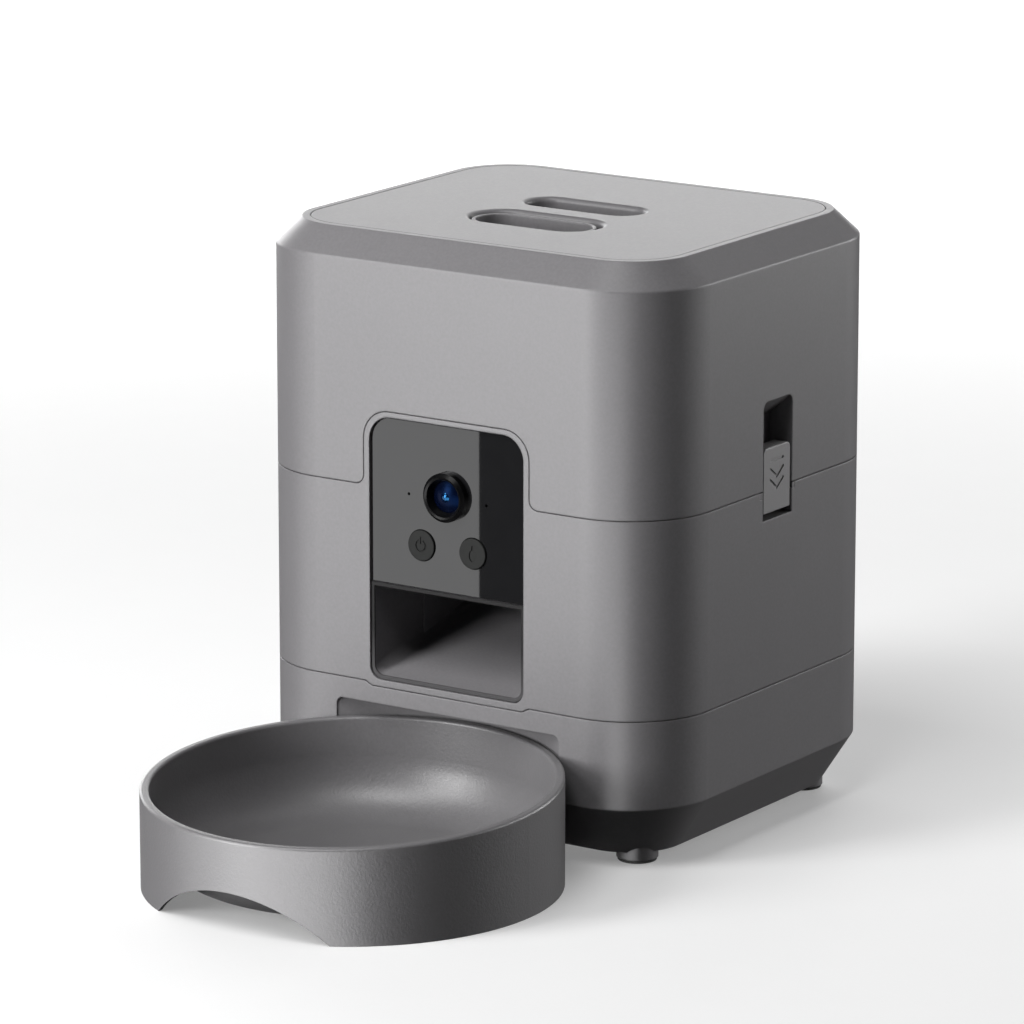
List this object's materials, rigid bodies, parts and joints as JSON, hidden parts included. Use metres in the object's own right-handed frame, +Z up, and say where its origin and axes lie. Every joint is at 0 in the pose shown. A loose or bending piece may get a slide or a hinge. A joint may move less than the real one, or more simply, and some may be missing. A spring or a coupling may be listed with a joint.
{
  "type": "automatic pet feeder",
  "caption": "Automatic dry-food pet feeder: lift-off hopper with pinch-release lid, camera panel over a sloping chute, motor-driven portion rotor and a pull-out bowl.",
  "frame": {"origin": "bottom centre of the whole object's box, on the surface it stands on", "axes": "+Z up, -Y the front with the window and bowl, X across with the plane of symmetry at X = 0"},
  "size_m": [0.2374, 0.385, 0.29],
  "materials": {
    "shell": "fine moulded texture",
    "lid_shell": "fine moulded texture",
    "bowl": "fine moulded grain",
    "latch": "satin",
    "panel": "high gloss, dark tinted",
    "button": "matte",
    "camera_black": "gloss black",
    "lens": "coated lens",
    "inner_plastic": "moulded",
    "hopper_inner": "smooth food-safe liner",
    "rotor_plastic": "moulded",
    "gear_plastic": "acetal",
    "rubber": "moulded",
    "silicone": "soft silicone",
    "steel": "machined",
    "bronze": "sintered",
    "board": "solder mask",
    "chip": "moulded",
    "contact": "plated"
  },
  "bodies": {
    "root": {"base_shell": "shell", "bottom_cover": "inner_plastic", "base_screws": "steel", "rubber_feet": "rubber", "battery_box": "inner_plastic", "battery_contacts": "contact", "main_board": "board", "board_components": "chip", "speaker": "chip", "power_inlet": "contact", "mid_housing": "shell", "chute": "inner_plastic", "inner_frame": "inner_plastic", "rotor_housing": "inner_plastic", "rotor_housing_screws": "steel", "shaft_bushes": "bronze", "gear_motor": "steel", "motor_bracket": "inner_plastic", "control_panel": "panel", "control_board": "board", "camera_ring": "camera_black", "camera_lens": "lens", "camera_module": "camera_black", "tact_switches": "chip", "microphones": "chip", "latch_spring_left": "steel", "latch_spring_right": "steel"},
    "rotor": {"rotor": "rotor_plastic", "rotor_shaft": "steel", "drive_gear": "gear_plastic"},
    "pinion": {"motor_pinion": "gear_plastic", "motor_shaft": "steel"},
    "battery_door": {"battery_door": "inner_plastic"},
    "power_button": {"power_button": "button"},
    "feed_button": {"feed_button": "button"},
    "hopper": {"hopper_shell": "shell", "hopper_funnel": "hopper_inner"},
    "latch_left": {"latch_left": "latch"},
    "latch_right": {"latch_right": "latch"},
    "lid": {"lid": "lid_shell", "lid_liner": "hopper_inner", "lid_screws": "steel", "lid_seal": "silicone", "release_springs": "steel"},
    "lid_release": {"lid_release": "lid_shell"},
    "desiccant_cap": {"desiccant_cap": "hopper_inner"},
    "bowl": {"food_bowl": "bowl"}
  },
  "joints": [
    {"name": "bowl_pull", "type": "slide", "parent": "root", "child": "bowl", "axis": [0, -1, 0], "range_m": [0, 0.12]},
    {"name": "battery_door_drop", "type": "slide", "parent": "root", "child": "battery_door", "axis": [0, 0, -1], "range_m": [0, 0.03]},
    {"name": "hopper_lift", "type": "slide", "parent": "root", "child": "hopper", "axis": [0, 0, 1], "range_m": [0, 0.12]},
    {"name": "lid_lift", "type": "slide", "parent": "hopper", "child": "lid", "axis": [0, 0, 1], "range_m": [0, 0.07]},
    {"name": "lid_release_slide", "type": "slide", "parent": "lid", "child": "lid_release", "axis": [0, 1, 0], "range_m": [0, 0.0034], "stiffness_N_per_m": 400, "springref_m": -0.003, "deforming": ["release_springs"]},
    {"name": "desiccant_turn", "type": "hinge", "parent": "lid", "child": "desiccant_cap", "pos_m": [0, 0.14, 0.268], "axis": [0, 0, 1], "range_deg": [0, 40]},
    {"name": "latch_left_slide", "type": "slide", "parent": "root", "child": "latch_left", "axis": [0, 0, -1], "range_m": [0, 0.0026], "stiffness_N_per_m": 500, "springref_m": -0.003, "deforming": ["latch_spring_left"]},
    {"name": "latch_right_slide", "type": "slide", "parent": "root", "child": "latch_right", "axis": [0, 0, -1], "range_m": [0, 0.0026], "stiffness_N_per_m": 500, "springref_m": -0.003, "deforming": ["latch_spring_right"]},
    {"name": "power_button_press", "type": "slide", "parent": "root", "child": "power_button", "axis": [0, 1, 0], "range_m": [0, 0.0008], "stiffness_N_per_m": 900, "springref_m": -0.0006},
    {"name": "feed_button_press", "type": "slide", "parent": "root", "child": "feed_button", "axis": [0, 1, 0], "range_m": [0, 0.0008], "stiffness_N_per_m": 900, "springref_m": -0.0006},
    {"name": "rotor_spin", "type": "hinge", "parent": "root", "child": "rotor", "pos_m": [0, 0.102, 0.14], "axis": [0, 0, 1], "continuous": true},
    {"name": "pinion_spin", "type": "hinge", "parent": "root", "child": "pinion", "pos_m": [0, 0.126, 0.115], "axis": [0, 0, 1], "continuous": true}
  ],
  "couplings": [
    {"joint": "pinion_spin", "follows": "rotor_spin", "ratio": -3}
  ]
}
